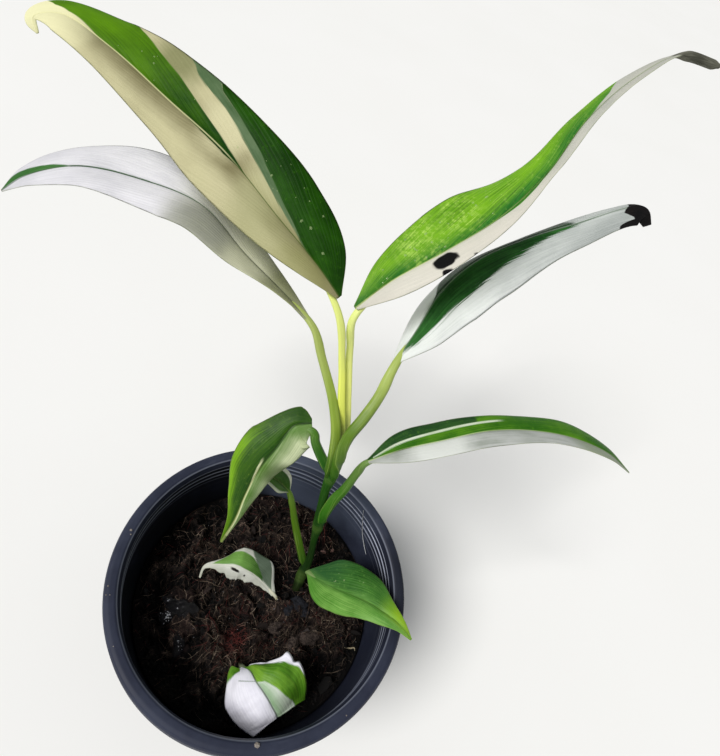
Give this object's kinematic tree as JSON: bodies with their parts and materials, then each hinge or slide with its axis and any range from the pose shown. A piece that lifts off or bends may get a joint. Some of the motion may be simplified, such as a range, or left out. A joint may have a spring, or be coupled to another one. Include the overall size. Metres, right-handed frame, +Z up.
{
  "type": "potted foliage plant",
  "caption": "Young climbing foliage plant with long pointed cream and green variegated leaves on slender stalks, rooted in dark soil in a round tapered nursery pot.",
  "frame": {"origin": "centre of the pot's flat base, on the surface that it stands on", "axes": "+Z up along the pot's axis, -Y towards the front from which the plant is seen, +X to the right from there"},
  "size_m": [0.3205, 0.2884, 0.3506],
  "materials": {
    "pot": "dark slate-blue moulded plastic, satin",
    "soil": "moist coir, bark and peat mix, rough and matt",
    "stem": "fresh green stem, softly waxy",
    "leaf_upper_left": "leaf half cream and half green in bands, satin",
    "leaf_lower_left": "almost white leaf with a green midrib streak, satin",
    "leaf_upper_right": "bright green leaf with one white half, satin",
    "leaf_middle_right": "dark green leaf that feathers to white, satin",
    "leaf_right": "green and white leaf, satin",
    "leaf_left": "green leaf with one pale mottled half, satin",
    "leaf_lower_right": "deep green leaf with a yellowish tip, satin",
    "leaf_small": "small pale green leaf, satin",
    "old_leaf_small": "old leaf, green with white edges, matt",
    "old_leaf_front": "old leaf, white and green, matt"
  },
  "bodies": {
    "root": {"pot": "pot", "soil": "soil", "stem": "stem", "leaf_upper_left": "leaf_upper_left", "leaf_lower_left": "leaf_lower_left", "leaf_upper_right": "leaf_upper_right", "leaf_middle_right": "leaf_middle_right", "leaf_right": "leaf_right", "leaf_left": "leaf_left", "leaf_lower_right": "leaf_lower_right", "leaf_small": "leaf_small", "old_leaf_small": "old_leaf_small", "old_leaf_front": "old_leaf_front"}
  },
  "joints": []
}
